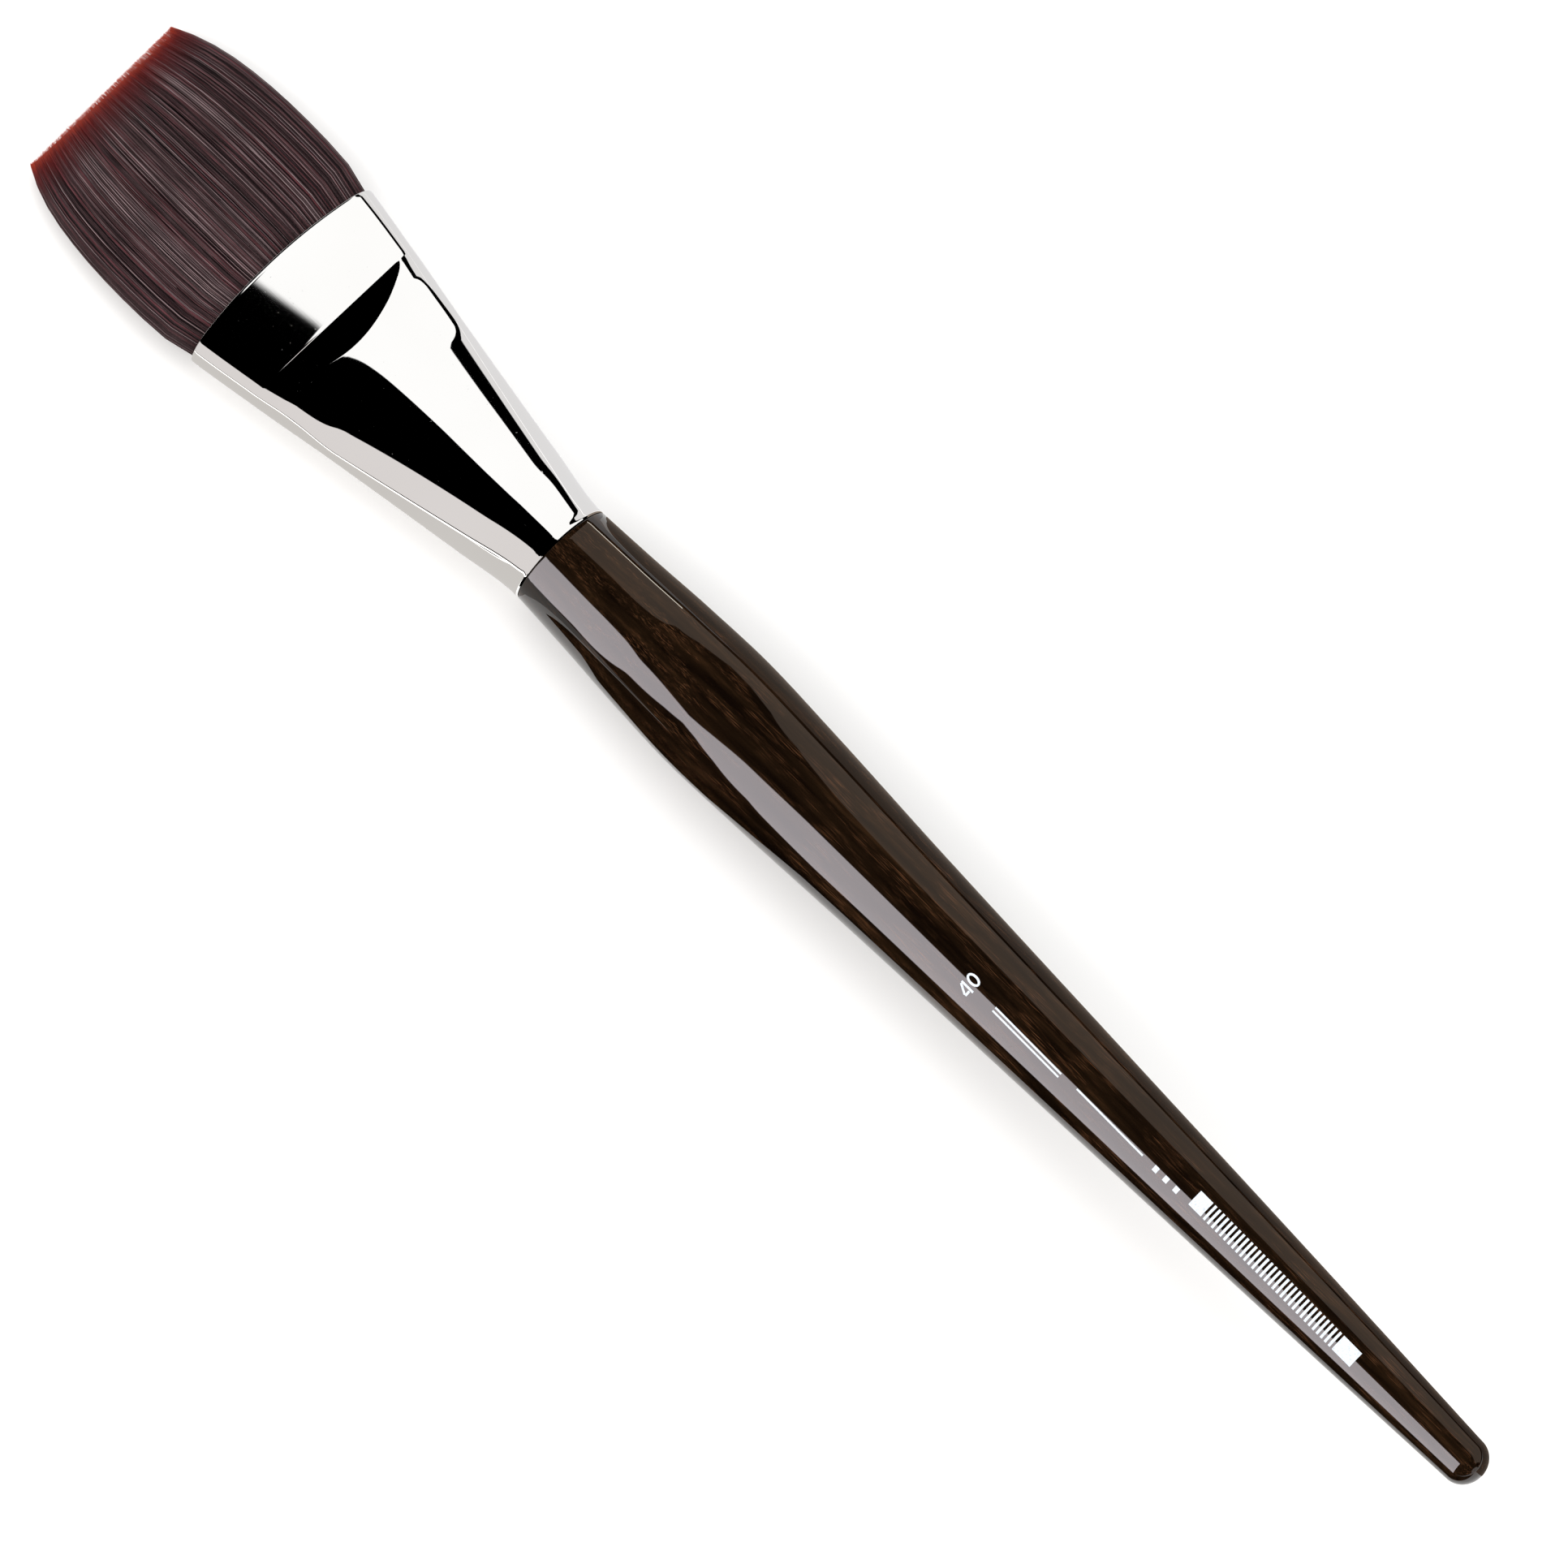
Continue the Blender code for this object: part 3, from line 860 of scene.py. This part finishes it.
def make_camera():
    """Nearly square on to the brush's wide side, a little towards its tail and its +Y side; a long lens."""
    lean_back, lean_side = math.radians(10.95), math.radians(8.0)
    turned = BRUSH_TO_FRAME.to_3x3()
    view = (turned @ Vector((-math.tan(lean_back), math.tan(lean_side), 1.0))).normalized()
    shown = (along - view * along.dot(view)).normalized()
    side = view.cross(shown)
    diagonal = math.radians(45.03)
    right = -math.cos(diagonal) * shown - math.sin(diagonal) * side
    top = view.cross(right)
    distance, shown_width = 2.2, 0.218
    data = bpy.data.cameras.new("camera")
    data.sensor_width = 36.0
    data.lens = data.sensor_width * distance / shown_width
    data.clip_end = 20.0
    camera = bpy.data.objects.new("camera", data)
    bpy.context.scene.collection.objects.link(camera)
    aim = at(-45.4 * MM) + side * 0.5 * MM
    camera.matrix_world = Matrix((right, top, view)).transposed().to_4x4()
    camera.location = aim + view * distance
    bpy.context.scene.camera = camera


FLOOR_COLOUR = (0.96, 0.96, 0.96)
ROOM_COLOUR = (1.0, 0.99, 0.975)
ROOM_STRENGTH = 1.02
LIGHT_SIZE = 0.9
TENT_RADIUS = 0.34
CARD_RADIUS = 0.25
NEAR_CARD_RADIUS = 0.24

# The studio's cards: rows of (station, angle, angle), stations in metres.
TENT = [(-1.6, -94, 94), (1.6, -94, 94)]
METAL_RIGHT = [
    (-0.05, -8, -77), (0.042, -8, -77), (0.055, -8, -73), (0.07, -7.6, -67), (0.09, -7.3, -58),
    (0.105, -7.3, -52), (0.12, -6.7, -48), (0.13, -7.4, -46), (0.14, -7.0, -46), (0.155, -6.0, -46),
    (0.175, -6.0, -46),
]
METAL_RIGHT_SIDE = [
    (0.03, -92.9, -93), (0.055, -83, -93), (0.07, -77, -93), (0.09, -66, -93), (0.2, -60, -93),
]
METAL_LEFT = [(-1.2, 35, 85), (0.05, 35, 85), (0.1, 39, 85), (0.25, 39, 85)]
METAL_AHEAD = [(0.25, -25, -93), (1.2, -25, -93)]
METAL_LEFT_LINE = [(-0.1, 87.3, 90.6), (0.15, 87.3, 90.6)]
WOOD_RIGHT = [
    (-0.6, -30, -85), (-0.043, -31, -85), (-0.032, -34, -85), (-0.019, -42, -85), (-0.009, -55, -85),
    (0.005, -61, -85), (0.025, -62, -85), (0.045, -54, -85), (0.056, -36, -85), (0.068, -29, -85),
    (0.09, -26, -85),
]
WOOD_STRIP = [
    (-0.21, 33, 91), (-0.08, 32, 91), (-0.034, 31, 90), (-0.019, 33, 84), (-0.009, 37, 72), (0.005, 41, 64),
    (0.018, 43, 61), (0.035, 40, 66), (0.05, 36, 75), (0.062, 31, 90), (0.07, 30, 91), (0.12, 30, 91),
]
NECK_LINE = [(0.048, -82.3, -84.0), (0.09, -82.3, -84.0)]

# What the polished pieces see on the table: corners (station, y), in metres.
WOOD_TABLE_RIGHT = [
    (-0.4, -0.003), (0.0, -0.003), (0.002, -0.02), (0.01, -0.06), (0.016, -0.1), (0.03, -0.22),
    (0.045, -0.36), (-0.4, -0.36),
]
METAL_TABLE_RIGHT = [
    (0.4, -0.003), (0.001, -0.003), (0.003, -0.02), (0.011, -0.06), (0.017, -0.1), (0.031, -0.22),
    (0.046, -0.36), (0.4, -0.36),
]
WOOD_TABLE_LEFT = [
    (-0.4, 0.36), (0.045, 0.36), (0.03, 0.25), (0.009, 0.1), (0.0, 0.026), (-0.008, 0.024), (-0.014, 0.0165),
    (-0.025, 0.0145), (-0.038, 0.014), (-0.046, 0.018), (-0.055, 0.024), (-0.4, 0.027),
]
METAL_TABLE_LEFT = [
    (0.4, 0.36), (0.05, 0.36), (0.034, 0.25), (0.012, 0.1), (0.003, 0.026), (0.001, 0.003), (0.4, 0.003),
]


def make_stage(ferrule, handle):
    """Table, room, camera and lights; the polished pieces reflect a dark tent, with cards of their own."""
    make_floor()
    make_world()
    make_camera()
    bpy.context.scene.view_settings.view_transform = "Standard"
    card("tent", TENT, TENT_RADIUS, BLACK, 0.0)
    for name, rows, radius, colour, strength, soft, seen_by in (
        ("metal_right", METAL_RIGHT, CARD_RADIUS, WHITE, 1.1, (0.35, 0.5), ferrule),
        ("metal_right_side", METAL_RIGHT_SIDE, CARD_RADIUS, (1.0, 0.985, 0.985), 0.8, (1.0, 0.0), ferrule),
        ("metal_left", METAL_LEFT, CARD_RADIUS, (1.0, 0.955, 0.945), 0.76, (0.7, 0.5), ferrule),
        ("metal_ahead", METAL_AHEAD, CARD_RADIUS, WHITE, 0.8, (4.0, 0.0), ferrule),
        ("metal_left_line", METAL_LEFT_LINE, CARD_RADIUS, (1.0, 0.97, 0.94), 2.4, (0.0, 0.0), ferrule),
        ("wood_right", WOOD_RIGHT, CARD_RADIUS, (1.0, 0.78, 0.62), 0.75, (1.0, 0.5), handle),
        ("wood_strip", WOOD_STRIP, NEAR_CARD_RADIUS, (1.0, 0.93, 0.97), 6.4, (2.0, 2.0), handle),
        ("neck_line", NECK_LINE, NEAR_CARD_RADIUS, (1.0, 0.93, 0.8), 9.0, (0.0, 0.0), handle),
    ):
        card(name, rows, radius, colour, strength, soft, seen_by)
    table_card("wood_table_right", WOOD_TABLE_RIGHT, (1.0, 0.82, 0.69), 0.28)
    table_card("metal_table_right", METAL_TABLE_RIGHT, (1.0, 0.99, 1.0), 0.8)
    table_card("wood_table_left", WOOD_TABLE_LEFT, BLACK, 0.0)
    table_card("metal_table_left", METAL_TABLE_LEFT, (1.0, 0.965, 0.93), 0.64)
    area_light("key", (0.1, 0.75, 0.8), (0.0, 0, 0), LIGHT_SIZE, 5.0, (1.0, 0.97, 0.95))
    area_light("fill", (0.2, -0.5, 0.9), (0.03, 0, 0), LIGHT_SIZE, 4.0, WHITE)


handle = make_handle(lacquered_wood())
ferrule = make_ferrule(polished_nickel())
make_tuft()
make_print(print_ink())
for node, made in (
    ("tuft_root", filament("filament_root")),
    ("binding_thread", plain_noise("thread", (0.45, 0.34, 0.2), (0.62, 0.5, 0.33), 2500.0, 0.8, 0.00005)),
    ("epoxy_plug", plain_noise("resin", (0.42, 0.2, 0.05), (0.55, 0.3, 0.09), 300.0, 0.2, 0.00002)),
):
    hidden = frame["nodes"][node]
    hidden.data.materials.clear()
    hidden.data.materials.append(made)
make_stage(ferrule, handle)
